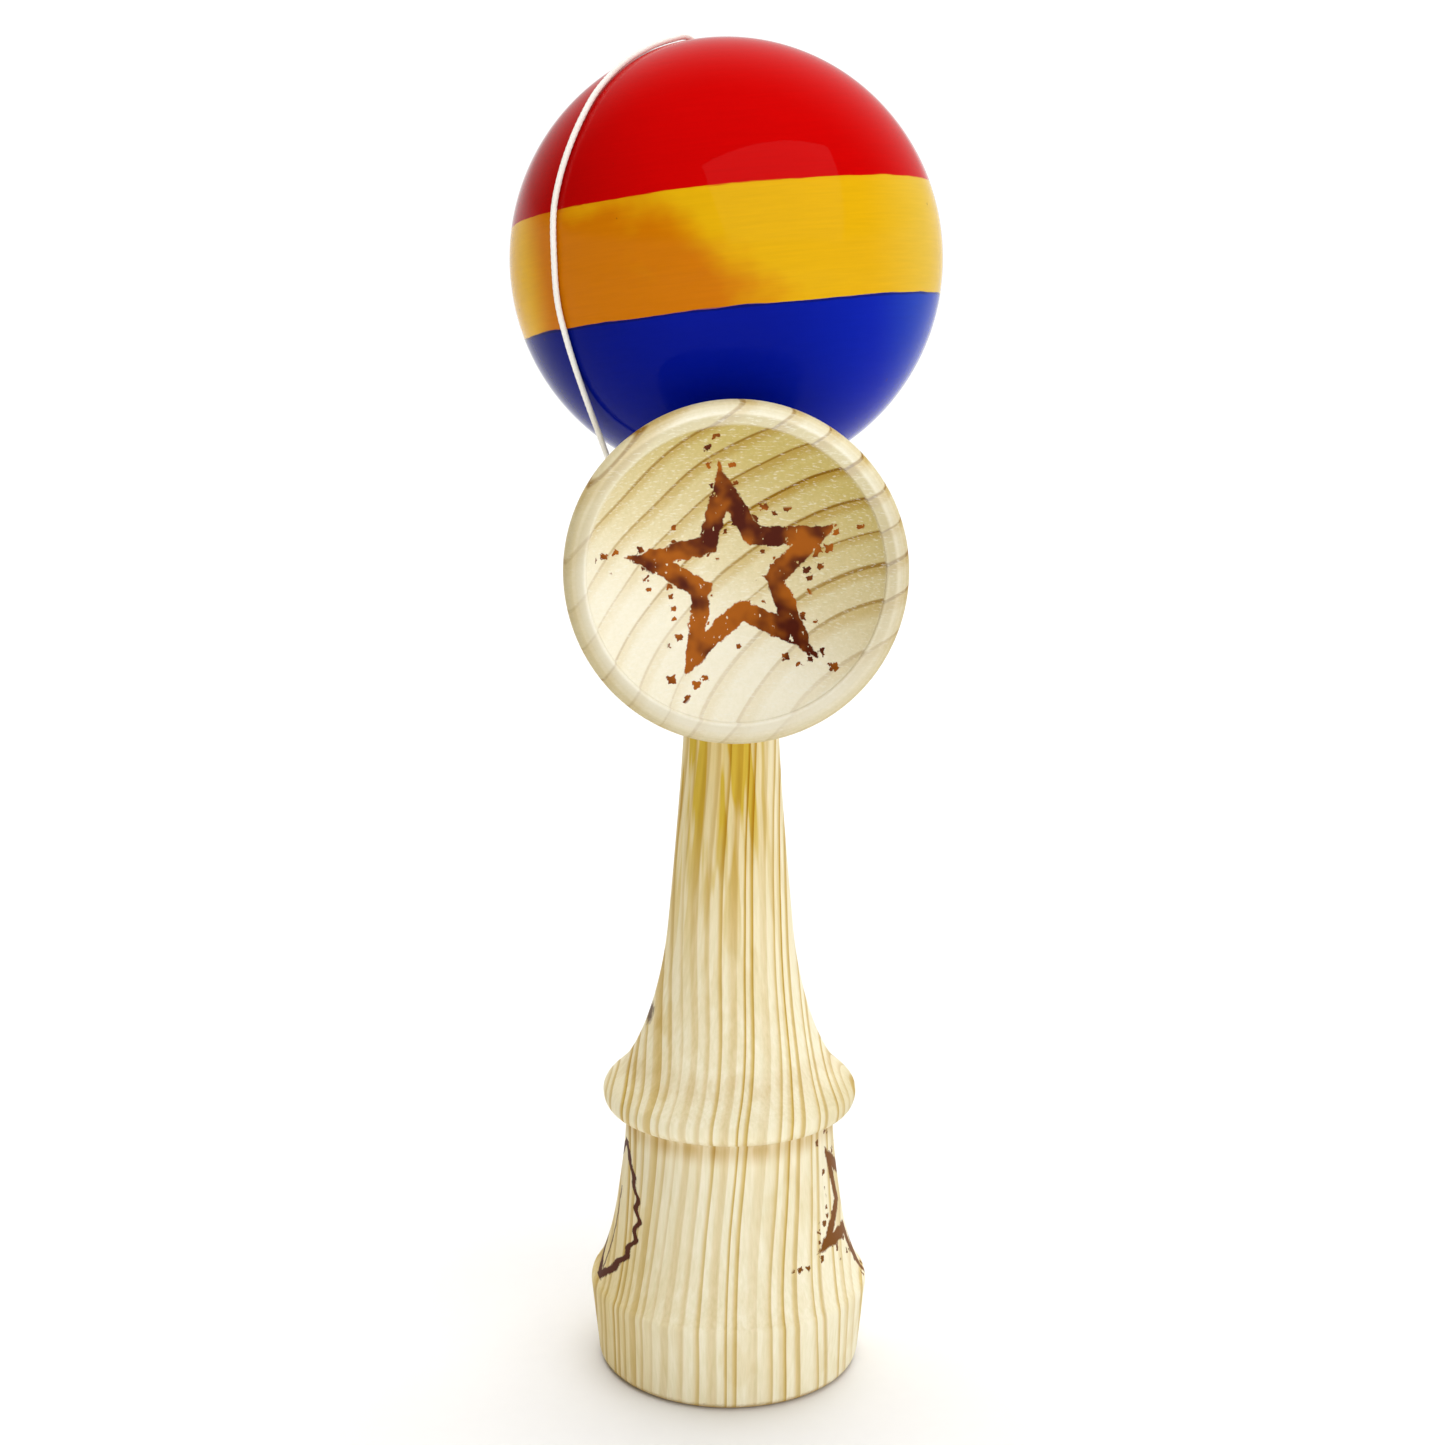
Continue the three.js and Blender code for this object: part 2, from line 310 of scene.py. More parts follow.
# From the winding, up the ball's left side and down through its top to the bead.
RUN_ROUTE = [
    (-0.0083, -0.0004, 0.1113),
    (-0.0088, -0.0017, 0.1128),
    (-0.0106, -0.0046, 0.1175),
    (-0.0136, -0.0084, 0.126),
    (-0.017, -0.0129, 0.137),
    (-0.0203, -0.0173, 0.147),
    (-0.0221, -0.0196, 0.1532),
    (-0.0232, -0.0203, 0.1581),
    (-0.0236, -0.0205, 0.1645),
    (-0.0236, -0.0195, 0.1697),
    (-0.0229, -0.0186, 0.1736),
    (-0.0218, -0.0174, 0.1773),
    (-0.0202, -0.0155, 0.1813),
    (-0.0181, -0.0125, 0.1853),
    (-0.0147, -0.0085, 0.1892),
    (-0.0114, -0.005, 0.1915),
    (-0.0084, -0.0021, 0.19285),
    (-0.00675, -0.00035, 0.19335),
    (-0.0059, 0.0004, 0.1931),
    (-0.00525, 0.0009, 0.19235),
    (-0.00495, 0.00105, 0.1912),
    (-0.0047, 0.0009, 0.189),
    (-0.0037, 0.001, 0.1841),
    (-0.0027, 0.00105, 0.1787),
    (-0.00195, 0.0006, 0.1718),
]
# The winding: turns that step down the neck, then one turn back up over them.
WINDING_START = math.radians(52)
WINDING_TOP = 0.1102
WINDING_DOWN_TURNS = 4.34
WINDING_UP_TURNS = 1.0
WINDING_PITCH = 0.00086
WINDING_RADIUS = 0.00718
WINDING_RISE = 0.0027
WINDING_STEP_UP = 0.16  # share of a turn in which the last one climbs onto the others
POINTS_PER_TURN = 20


def winding_route():
    points = []
    turns = WINDING_DOWN_TURNS + WINDING_UP_TURNS
    count = round(turns * POINTS_PER_TURN)
    bottom = WINDING_TOP - WINDING_DOWN_TURNS * WINDING_PITCH
    for i in range(count + 1):
        turned = turns * i / count
        angle = WINDING_START + 2 * math.pi * turned
        back = max(0.0, turned - WINDING_DOWN_TURNS)
        over = min(1.0, back / WINDING_STEP_UP)
        radius = WINDING_RADIUS + STRING_DIAMETER * over
        height = WINDING_TOP - turned * WINDING_PITCH
        if back:
            height = bottom + WINDING_RISE * (back / WINDING_UP_TURNS) ** 1.2
        points.append((radius * math.cos(angle), radius * math.sin(angle), height))
    return points


def make_string():
    line = catmull_rom(TAIL_ROUTE + winding_route() + RUN_ROUTE, STRING_STEP)

    def section(angle, along):
        """The strands' outer shape, twisted along the string."""
        twisted = angle - 2 * math.pi * along / STRING_LAY
        strand = abs(math.sin(STRING_STRANDS * twisted / 2))
        return STRING_DIAMETER / 2 * (0.9 + 0.13 * strand)

    string = tube("string", line, section, STRING_SIDES)
    length = sum((b - a).length for a, b in zip(line, line[1:]))
    return string, line, length


string, string_line, string_length = make_string()

# ---- knots -----------------------------------------------------------------------------------

KNOT_POINTS = 90


def make_knot(name, node):
    """An overhand knot: a closed trefoil of string, the size of its CAD solid."""
    low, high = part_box(node)
    centre = (low + high) / 2
    thick = STRING_DIAMETER / 2
    room = (high.z - low.z) / 2 - thick
    line = []
    for i in range(KNOT_POINTS):
        t = 2 * math.pi * i / KNOT_POINTS
        trefoil = Vector((
            math.sin(t) + 2 * math.sin(2 * t),
            math.cos(t) - 2 * math.cos(2 * t),
            -1.6 * math.sin(3 * t),
        ))
        line.append(centre + trefoil * (room / 3))
    return tube(name, line, lambda angle, along: thick, 12, closed=True)


# ---- turned pieces ---------------------------------------------------------------------------

# Driving dimensions, in millimetres.
KEN_TOP = KEN_HIGH.z / MM
BASE_RIM_RADIUS = 18
BASE_BOWL_RADIUS = 15.9
BASE_BOWL_DEPTH = 7.4
BASE_LIP = 0.7
FOOT_RADIUS = 20.9
CREASE_RADIUS, CREASE_HEIGHT = 15.5, 38.6
COLLAR_RADIUS, COLLAR_HEIGHT = 18.9, 42.2
TAPER_LOW = (6.95, 96)  # the straight taper that the crosspiece grips
TAPER_HIGH = (5.9, 136)

Cup = namedtuple("Cup", "radius front bowl_radius bowl_depth lip")
BIG_CUP = Cup(22.1, -CROSS_LOW.y / MM, 19, 8.6, 1)
SMALL_CUP = Cup(19.6, CROSS_HIGH.y / MM, 16.7, 7.6, 0.9)
WAIST_RADIUS = 10.5

SPIKE_HOLE_RADIUS = 10.9
SPIKE_HOLE_MOUTH = 12.3
SPIKE_HOLE_BEVEL = 1.9
SPIKE_HOLE_END = 9  # where its cone starts, above the ball's centre
STRING_HOLE_RADIUS = 1.8
STRING_HOLE_LIP = 1.6
STRING_HOLE_END = 15.9
BEAD_HOLE_RADIUS = 0.8

# In metres.
CROSS_HOLE_RADIUS = 0.001
KNOT_POCKET_RADIUS = 0.0018
KNOT_POCKET_FLOOR = -0.0024  # x of the pocket's inner end
THROUGH = 0.02  # reach of a cutter that goes right through
KEN_HOLE_REACH = 0.014
KEN_HOLE_GAP = 0.0001

WOOD_SIDES = 144
BALL_SIDES = 160
BEAD_SIDES = 64
HAND_WAVER = 0.03


def ken_outline():
    outline = Outline(0, BASE_LIP + BASE_BOWL_DEPTH)
    outline.bowl_out(BASE_LIP, BASE_BOWL_RADIUS, BASE_BOWL_DEPTH)
    outline.quad((BASE_BOWL_RADIUS + 0.3, 0), (BASE_BOWL_RADIUS + 0.8, 0), 10)
    outline.line(BASE_RIM_RADIUS, 0, 3)
    outline.quad((BASE_RIM_RADIUS + 1.5, 0), (BASE_RIM_RADIUS + 1.75, 1.5))
    # foot band, ridge and cove
    outline.line(FOOT_RADIUS - 0.1, 11.4, 12)
    outline.quad((FOOT_RADIUS + 0.15, 12.9), (FOOT_RADIUS - 0.6, 13.4))
    outline.cubic((18.7, 16), (17.5, 20.3), (16.86, 25))
    outline.cubic((16.4, 28.5), (15.6, 33), (CREASE_RADIUS, CREASE_HEIGHT))
    # collar
    outline.cubic((15.7, 40.4), (18.7, 39), (COLLAR_RADIUS, COLLAR_HEIGHT), 30)
    outline.cubic((COLLAR_RADIUS + 0.1, 44.1), (16.6, 44.7), (15.1, 47.2), 30)
    # neck
    outline.cubic((12.3, 51.6), (10.1, 59.4), (9.3, 67), 26)
    outline.cubic((8.6, 74.5), (7.5, 86), TAPER_LOW, 26)
    outline.line(*TAPER_HIGH, 24)
    # spike
    outline.line(4.4, KEN_TOP - 4.5, 14)
    outline.cubic((4.1, KEN_TOP - 1.2), (2.4, KEN_TOP), (0, KEN_TOP))
    return outline


def sarado_outline():
    """Height is along the crosspiece, with the big cup at the top."""
    big, small = BIG_CUP, SMALL_CUP
    outline = Outline(0, small.lip - small.front + small.bowl_depth)
    outline.bowl_out(small.lip - small.front, small.bowl_radius, small.bowl_depth)
    outline.quad((small.bowl_radius + 0.4, -small.front), (small.radius - 1.4, -small.front))
    outline.quad((small.radius, -small.front), (small.radius, 2.4 - small.front))
    outline.cubic((small.radius - 0.4, -26), (13.1, -20), (11.7, -15), 26)
    outline.quad((WAIST_RADIUS, -11), (WAIST_RADIUS, -5), 20)
    outline.line(WAIST_RADIUS, 5, 10)
    outline.quad((WAIST_RADIUS, 11), (11.7, 15), 20)
    outline.cubic((13.3, 20.5), (21.3, 25.5), (big.radius, big.front - 2.9), 30)
    outline.quad((big.radius, big.front), (big.radius - 1.4, big.front), 16)
    outline.line(big.bowl_radius + 0.45, big.front, 3)
    outline.quad((big.bowl_radius + 0.05, big.front), (big.bowl_radius, big.front - 0.45), 8)
    outline.line(big.bowl_radius, big.front - big.lip, 2)
    outline.bowl_in(big.front - big.lip, big.bowl_radius, big.bowl_depth)
    return outline


def tama_outline():
    radius = BALL_RADIUS / MM
    mouth_angle = -math.acos(SPIKE_HOLE_MOUTH / radius)
    mouth_height = radius * math.sin(mouth_angle)
    lip_radius = STRING_HOLE_RADIUS + STRING_HOLE_LIP
    lip_height = math.sqrt(radius**2 - lip_radius**2) - STRING_HOLE_LIP
    lip_corner = (STRING_HOLE_RADIUS, lip_height + STRING_HOLE_LIP)
    outline = Outline(SPIKE_HOLE_MOUTH, mouth_height)
    outline.arc(0, radius, mouth_angle, math.acos(lip_radius / radius), 110)
    outline.quad(lip_corner, (STRING_HOLE_RADIUS, lip_height), 14)
    outline.line(STRING_HOLE_RADIUS, STRING_HOLE_END, 8)
    outline.line(SPIKE_HOLE_RADIUS, SPIKE_HOLE_END, 8)
    outline.line(SPIKE_HOLE_RADIUS, mouth_height + SPIKE_HOLE_BEVEL, 20)
    outline.line(SPIKE_HOLE_MOUTH - 0.15, mouth_height + 0.1, 2)
    return outline


def bead_outline():
    radius = BEAD_RADIUS / MM
    edge = math.acos(BEAD_HOLE_RADIUS / radius)
    end = radius * math.sin(edge)
    outline = Outline(BEAD_HOLE_RADIUS, -end)
    outline.arc(0, radius, -edge, edge, 40)
    outline.line(BEAD_HOLE_RADIUS, -0.98 * end, 10)
    return outline


def cross_bar(start, end, radius=CROSS_HOLE_RADIUS):
    """A cutter along X at the crosspiece's height."""
    return bar("cutter", (start, 0, CROSS_HEIGHT), (end, 0, CROSS_HEIGHT), radius, radius)


def make_ken():
    ken = turn("ken_wood", ken_outline(), WOOD_SIDES, waver=HAND_WAVER)
    cut(ken, cross_bar(-THROUGH, THROUGH))
    cut(ken, cross_bar(-THROUGH, KNOT_POCKET_FLOOR, KNOT_POCKET_RADIUS))
    return ken


def make_sarado():
    """Turned along Z, then laid so that the big cup faces -Y."""
    sarado = turn("sarado_wood", sarado_outline(), WOOD_SIDES, waver=HAND_WAVER)
    laid = Matrix.Rotation(math.pi / 2, 4, "X")
    sarado.data.transform(Matrix.Translation((0, 0, CROSS_HEIGHT)) @ laid)
    low, high = CROSS_HEIGHT - KEN_HOLE_REACH, CROSS_HEIGHT + KEN_HOLE_REACH
    slope = (TAPER_LOW[0] - TAPER_HIGH[0]) / (TAPER_HIGH[1] - TAPER_LOW[1])

    def hole_radius(height):
        neck = TAPER_HIGH[0] + (TAPER_HIGH[1] - height / MM) * slope
        return neck * MM + KEN_HOLE_GAP

    cut(sarado, bar("cutter", (0, 0, low), (0, 0, high), hole_radius(low), hole_radius(high), 96))
    cut(sarado, cross_bar(0, THROUGH))
    return sarado


BALL_SIDE = (Vector((1, 0, 0)) - BALL_AXIS * BALL_AXIS.x).normalized()
BALL_TURN = Matrix((BALL_SIDE, BALL_AXIS.cross(BALL_SIDE), BALL_AXIS)).transposed().to_4x4()
BALL_PLACE = Matrix.Translation(BALL_CENTRE) @ BALL_TURN


def make_tama():
    tama = turn("tama_ball", tama_outline(), BALL_SIDES, closed=True)
    tama.data.transform(BALL_PLACE)
    return tama


def make_bead():
    bead = turn("bead_ball", bead_outline(), BEAD_SIDES, closed=True)
    bead.data.transform(Matrix.Translation(BEAD_CENTRE) @ BALL_TURN)
    return bead


# ---- materials -------------------------------------------------------------------------------


class Look:
    """A node material with short ways to add nodes. Numbers and colours are linear."""

    def __init__(self, name, roughness=0.5):
        self.material = bpy.data.materials.new(name)
        self.material.use_nodes = True
        self.tree = self.material.node_tree
        self.shader = self.tree.nodes["Principled BSDF"]
        self.shader.inputs["Roughness"].default_value = roughness

    def node(self, kind, settings=None, **inputs):
        made = self.tree.nodes.new(kind)
        for name, value in (settings or {}).items():
            setattr(made, name, value)
        for name, value in inputs.items():
            self.feed(made.inputs[name.replace("_", " ")], value)
        return made

    def feed(self, socket, value):
        if isinstance(value, bpy.types.NodeSocket):
            self.tree.links.new(value, socket)
        elif isinstance(value, (tuple, list)) and len(value) == 3 and socket.type == "RGBA":
            socket.default_value = (*value, 1)
        else:
            socket.default_value = value

    def math(self, operation, *values):
        made = self.node("ShaderNodeMath", {"operation": operation})
        for socket, value in zip(made.inputs, values):
            self.feed(socket, value)
        return made.outputs[0]

    def add(self, *values):
        total = values[0]
        for value in values[1:]:
            total = self.math("ADD", total, value)
        return total

    def times(self, *values):
        product = values[0]
        for value in values[1:]:
            product = self.math("MULTIPLY", product, value)
        return product

    def less(self, a, b):
        return self.math("SUBTRACT", a, b)

    def rest(self, share):
        return self.less(1.0, share)

    def over(self, a, b):
        return self.math("DIVIDE", a, b)

    def larger(self, a, b):
        return self.math("MAXIMUM", a, b)

    def clamped(self, value, low, high):
        return self.math("MINIMUM", self.math("MAXIMUM", value, low), high)

    def size(self, value):
        return self.math("ABSOLUTE", value)

    def below(self, value, limit):
        """1 where the value is below the limit, 0 elsewhere."""
        return self.math("LESS_THAN", value, limit)

    def step(self, value, low, high):
        """0 below low, 1 above high, smooth between."""
        made = self.node("ShaderNodeMapRange", {"interpolation_type": "SMOOTHSTEP"}, Value=value)
        made.inputs["From Min"].default_value = low
        made.inputs["From Max"].default_value = high
        return made.outputs[0]

    def fade(self, value, low, high):
        """1 below low, 0 above high, smooth between."""
        return self.rest(self.step(value, low, high))

    def vector(self, x, y, z):
        return self.node("ShaderNodeCombineXYZ", X=x, Y=y, Z=z).outputs[0]

    def length(self, *sides):
        """Length of the diagonal with these two or three sides."""
        squares = [self.times(side, side) for side in sides]
        return self.math("SQRT", self.add(*squares))

    def place(self, origin=(0, 0, 0), turned=None):
        """Distances along x, y and z from a point of the piece, in millimetres."""
        coordinates = self.node("ShaderNodeTexCoord").outputs["Object"]
        off = self.node("ShaderNodeVectorMath", {"operation": "SUBTRACT"}, Vector=coordinates)
        off.inputs[1].default_value = tuple(origin)
        distances = []
        for axis in (turned or Matrix.Identity(3)).to_3x3().transposed():
            along = self.node("ShaderNodeVectorMath", {"operation": "DOT_PRODUCT"})
            self.feed(along.inputs[0], off.outputs[0])
            along.inputs[1].default_value = tuple(axis / MM)
            distances.append(along.outputs["Value"])
        return distances

    def noise(self, vector, scale=1.0, detail=2.0, roughness=0.5):
        made = self.node("ShaderNodeTexNoise", {}, Vector=vector, Scale=scale, Detail=detail)
        made.inputs["Roughness"].default_value = roughness
        return made.outputs["Fac"]

    def streaks(self, place, finer, detail=2.0, roughness=0.5):
        """Noise that is finer by its own factor along each of the place's three distances."""
        scaled = [self.times(distance, factor) for distance, factor in zip(place, finer)]
        return self.noise(self.vector(*scaled), 1.0, detail, roughness)

    def chance(self, value):
        """A random number for each whole number."""
        made = self.node("ShaderNodeTexWhiteNoise", {"noise_dimensions": "1D"}, W=value)
        return made.outputs["Value"]

    def mix(self, share, a, b, blend="MIX"):
        made = self.node("ShaderNodeMix", {"data_type": "RGBA", "blend_type": blend})
        self.feed(made.inputs[0], share)
        self.feed(made.inputs[6], a)
        self.feed(made.inputs[7], b)
        return made.outputs[2]

    def tint(self, share, colour, by):
        """The colour multiplied by another, by this share."""
        return self.mix(share, colour, by, "MULTIPLY")

    def bump(self, height, distance, strength):
        made = self.node("ShaderNodeBump", {}, Height=height, Strength=strength)
        made.inputs["Distance"].default_value = distance
        self.feed(self.shader.inputs["Normal"], made.outputs[0])

    def colour(self, value):
        self.feed(self.shader.inputs["Base Color"], value)

    def rough(self, value):
        self.feed(self.shader.inputs["Roughness"], value)


# Wood: PALE early wood, TAN late wood and its BROWN last line.
PALE = (0.94, 0.872, 0.69)
TAN = (0.62, 0.40, 0.015)
BROWN = (0.38, 0.20, 0.008)
CREAM = (0.92, 0.91, 0.82)
KNOT = (0.10, 0.045, 0.014)
WOOD_SHEEN = 0.12
# Tints that the wood is multiplied by.
WARM_TONE_AND_SHADE = (0.68, 0.505, 0.07)
BOWL_SHADE = (0.64, 0.56, 0.26)
CREASE_SHADE = (0.74, 0.60, 0.38)
SHADE_AND_TURNING_TINT = (0.80, 0.75, 0.60)
INNER_LIP_TINT = (0.74, 0.70, 0.62)
# Inks of the printed marks.
GOLDEN = (0.19, 0.062, 0.003)
BURNT = (0.08, 0.014, 0.0005)
SCORCH = (0.38, 0.10, 0.004)
DARK_INK = (0.075, 0.008, 0.001)


def growth(look, across, spacing, soft_from, line_from=0.72, unevenness=3.4, faintest=0.3):
    """Growth rings: how late in the year the wood at this distance grew, and its dark edge."""
    uneven = look.noise(look.vector(look.times(across, 0.37), 7.0, 3.0), 1.0, 3.0)
    place = look.over(look.add(across, look.times(uneven, unevenness)), spacing)
    share = look.math("FRACT", place)
    year = look.math("FLOOR", place)
    force = look.add(faintest, look.times(look.chance(year), 1.0 - faintest))
    late = look.times(look.step(share, soft_from, 0.8), look.fade(share, 0.9, 1.0))
    edge = look.times(look.step(share, line_from, 0.89), look.fade(share, 0.92, 0.98))
    return look.times(late, force), look.times(edge, force, force)


def star_distance(look, u, v, tip, notch):
    """Distance outside the edge of a five-pointed star, in millimetres; negative inside."""
    fold = 2 * math.pi / 5
    angle = look.math("ARCTAN2", u, v)
    folded = look.size(look.math("WRAP", angle, fold / 2, -fold / 2))
    far = look.length(u, v)
    x = look.times(far, look.math("COSINE", folded))
    y = look.times(far, look.math("SINE", folded))
    edge = Vector((notch * math.cos(fold / 2) - tip, notch * math.sin(fold / 2)))
    normal = Vector((edge.y, -edge.x)).normalized()
    return look.add(look.times(look.less(x, tip), normal.x), look.times(y, normal.y))


def band(look, distance, centre, half, soft):
    """1 within half of centre, fading over soft."""
    off = look.size(look.less(distance, centre))
    return look.fade(off, half - soft / 2, half + soft / 2)


def speckle(look, u, v, size, share):
    """Scattered flecks in about this share of the surface."""
    cells = look.node(
        "ShaderNodeTexVoronoi",
        {"feature": "F1", "voronoi_dimensions": "2D", "distance": "CHEBYCHEV"},
        Vector=look.vector(look.over(u, size), look.over(v, size), 0.0),
        Scale=1.0,
    )
    pick = look.node("ShaderNodeSeparateXYZ", Vector=cells.outputs["Color"]).outputs
    ragged = look.times(look.less(look.noise(look.vector(u, v, 5.0), 1.6), 0.5), 0.9)
    smaller = look.times(pick[1], 0.22)
    fleck = look.fade(look.add(cells.outputs["Distance"], ragged, smaller), 0.32, 0.4)
    return look.times(look.below(pick[0], share), fleck)


def wood(look, late, edge, fibre, warm, line=0.5):
    """Pale softwood, unvarnished: cream early wood, tan late wood with a darker last line."""
    look.shader.inputs["Specular IOR Level"].default_value = WOOD_SHEEN
    base = look.mix(look.times(late, 0.95), PALE, TAN)
    base = look.mix(look.times(edge, line), base, BROWN)
    return look.tint(1.0, look.tint(warm, base, WARM_TONE_AND_SHADE), fibre)


def fibres(look, place, depth=0.16):
    """Fine streaks along the place's third distance, as a grey to multiply by."""
    fine = look.streaks(place, (2.4, 2.4, 0.09), 4.0, 0.6)
    broad = look.streaks(place, (0.7, 0.7, 0.03))
    both = look.add(look.times(fine, 0.85), look.times(broad, 0.15))
    grey = look.add(1.0 - depth / 2, look.times(look.less(both, 0.5), depth * 2.4))
    return look.vector(grey, grey, look.times(grey, grey)), fine


# Places on the ken, in millimetres and in radians round it from the front, positive to the right.
MARK_RADIUS = 17.6  # of the base where its two marks are
LEAF_ANGLE, LEAF_HEIGHT = math.radians(-78), 24.5
LEAF_HALF_HEIGHT, LEAF_HALF_WIDTH = 10.5, 7.4
SIDE_STAR_ANGLE, SIDE_STAR_HEIGHT = math.radians(88), 25.0
SIDE_STAR_TIP, SIDE_STAR_NOTCH = 13.0, 5.8
KNOT_ANGLE, KNOT_HEIGHT = math.radians(-85), 54.5
KEN_RING_SPACING = 1.5


def leaf_outline(look, u, v, rough):
    """The drawn outline of a toothed leaf with its stalk."""
    share = look.over(v, LEAF_HALF_HEIGHT)
    body = look.rest(look.times(share, share))
    teeth = look.times(look.math("SINE", look.times(v, 2.1)), body, 0.55)
    width = look.add(look.times(look.larger(body, 0.0), LEAF_HALF_WIDTH), teeth)
    slope = look.add(1.0, look.times(share, share))
    off = look.over(look.less(look.size(u), width), slope)
    leaf = band(look, look.add(off, look.times(rough, 0.9)), 0.0, 0.6, 0.3)
    leaf = look.times(leaf, look.below(look.size(v), LEAF_HALF_HEIGHT + 0.3))
    stalk = band(look, look.add(u, look.times(rough, 0.8)), 0.0, 0.3, 0.25)
    stalk = look.times(stalk, look.below(look.size(look.add(v, 3.0)), 6.5))
    return look.larger(leaf, look.times(stalk, 0.8))


def ken_material():
    look = Look("ken_wood_look", 0.55)
    place = x, y, z = look.place()
    angle = look.math("ARCTAN2", x, look.times(y, -1))
    to_left = look.times(angle, -1)

    # Growth rings run nearly straight through the piece, and are closer at the top.
    wander = look.times(look.streaks(place, (0.03, 0.03, 0.014), 1.5), 9.0)
    bow = look.add(1.0, look.times(y, y, 0.0012))
    across = look.add(look.over(look.less(x, 3.0), bow), wander)
    spread = look.less(1.12, look.times(look.step(z, 0, 130), 0.2))
    late, edge = growth(look, look.over(across, spread), KEN_RING_SPACING, 0.36)
    late = look.times(late, look.add(0.8, look.times(look.step(z, 0, 110), 0.4)))

    # Warmer towards the top, partly the wood's own tone and partly painted shadow under the
    # crosspiece; painted shade on the left, painted light on the right, and warmer patches where
    # it has been handled.
    streaks = look.streaks(place, (0.55, 0.55, 0.012))
    # Warmer towards the top: the wood's own tone, with painted shadow under the crosspiece.
    high = look.step(z, 48, 106)
    low = look.fade(z, 12, 40)
    # Painted light: less warmth on the right side.
    painted_right_light = look.times(look.step(angle, 0.3, 1.1), look.fade(angle, 1.8, 2.8))
    # Painted shade on the left side.
    painted_left_shade = look.times(look.step(to_left, 0.2, 1.2), look.fade(to_left, 1.8, 2.8))
    warm = look.times(look.step(streaks, 0.44, 0.56), look.add(0.1, look.times(high, 0.6)))
    warm = look.add(warm, look.times(high, 0.68))
    warm = look.times(warm, look.rest(look.times(painted_right_light, 0.65)))
    # The painted shade on the left is strongest on the base.
    depth = look.less(look.add(0.16, look.times(low, 0.34)), look.times(high, 0.3))
    warm = look.add(warm, look.times(painted_left_shade, depth))
    # Warmer patches where it has been handled, stronger on the left as painted shade.
    patches = look.streaks(place, (0.16, 0.16, 0.07), 3.0, 0.6)
    handled_and_left_shade = look.add(0.2, look.times(painted_left_shade, 0.3))
    handled_and_left_shade = look.times(look.step(patches, 0.54, 0.68), handled_and_left_shade)
    fibre, fine = fibres(look, place, 0.12)
    colour = wood(look, late, edge, fibre, look.larger(warm, handled_and_left_shade), 0.4)

    # A leaf printed on the left of the base, a star on the right.
    rough = look.less(look.noise(look.vector(x, y, z), 0.9, 4.0, 0.65), 0.5)
    u = look.times(look.less(angle, LEAF_ANGLE), MARK_RADIUS)
    leaf = leaf_outline(look, u, look.less(z, LEAF_HEIGHT), rough)
    colour = look.mix(leaf, colour, BURNT)
    u = look.times(look.less(angle, SIDE_STAR_ANGLE), MARK_RADIUS)
    v = look.less(SIDE_STAR_HEIGHT, z)
    far = star_distance(look, u, v, SIDE_STAR_TIP, SIDE_STAR_NOTCH)
    star = band(look, look.add(far, look.times(rough, 1.4)), -1.0, 1.0, 0.4)
    splashes = look.times(speckle(look, u, v, 1.5, 0.35), band(look, far, 1.2, 1.3, 0.5))
    star = look.larger(star, splashes)
    colour = look.mix(star, colour, GOLDEN)

    # A small dark knot at the left of the flare.
    aside = look.times(look.less(angle, KNOT_ANGLE), 5.2)
    spot = look.length(aside, look.times(look.less(z, KNOT_HEIGHT), 0.62))
    spot = look.fade(look.add(spot, look.times(rough, 1.6)), 0.5, 1.3)
    colour = look.mix(look.times(spot, 0.92), colour, KNOT)

    # Painted shade in the crease, above the collar and on the collar's right; darker brown along
    # the very bottom edge.
    crease = band(look, z, CREASE_HEIGHT - 0.2, 1.5, 3.0)
    crease = look.add(crease, look.times(band(look, z, 47.5, 1.6, 2.4), 0.3))
    crease = look.times(crease, look.add(0.45, look.times(look.step(streaks, 0.35, 0.65), 0.5)))
    colour = look.tint(crease, colour, CREASE_SHADE)
    # Painted shade on the right of the collar.
    painted_edge_shade = band(look, z, COLLAR_HEIGHT + 0.4, 2.6, 2.6)
    painted_edge_shade = look.times(painted_edge_shade, look.step(angle, 0.5, 1.0), 0.75)
    colour = look.tint(painted_edge_shade, colour, SHADE_AND_TURNING_TINT)
    # Darker brown along the very bottom edge of the base.
    foot = look.fade(look.add(z, look.times(rough, 1.2)), 0.3, 1.3)
    look.colour(look.mix(look.times(foot, 0.7), colour, BROWN))

    look.rough(look.add(0.5, look.times(fine, 0.16)))
    tool_rings = look.times(look.math("SINE", look.times(z, 9.0)), 0.05)
    relief = look.add(look.times(fine, 0.5), look.times(late, -0.25), tool_rings)
    pressed = look.times(look.larger(leaf, star), 0.8)
    look.bump(look.less(relief, pressed), 0.00006, 0.28)
    return look.material


# Places on the crosspiece, in millimetres from its middle.
CROSS_RING_SPACING = 4.4
PITH = (66.0, -74.0)  # x and z of the growth rings' middle
CUP_STAR_LEAN = math.radians(9)
CUP_STAR_DROP = 0.6
CUP_STAR_TIP, CUP_STAR_NOTCH = 14.6, 6.6


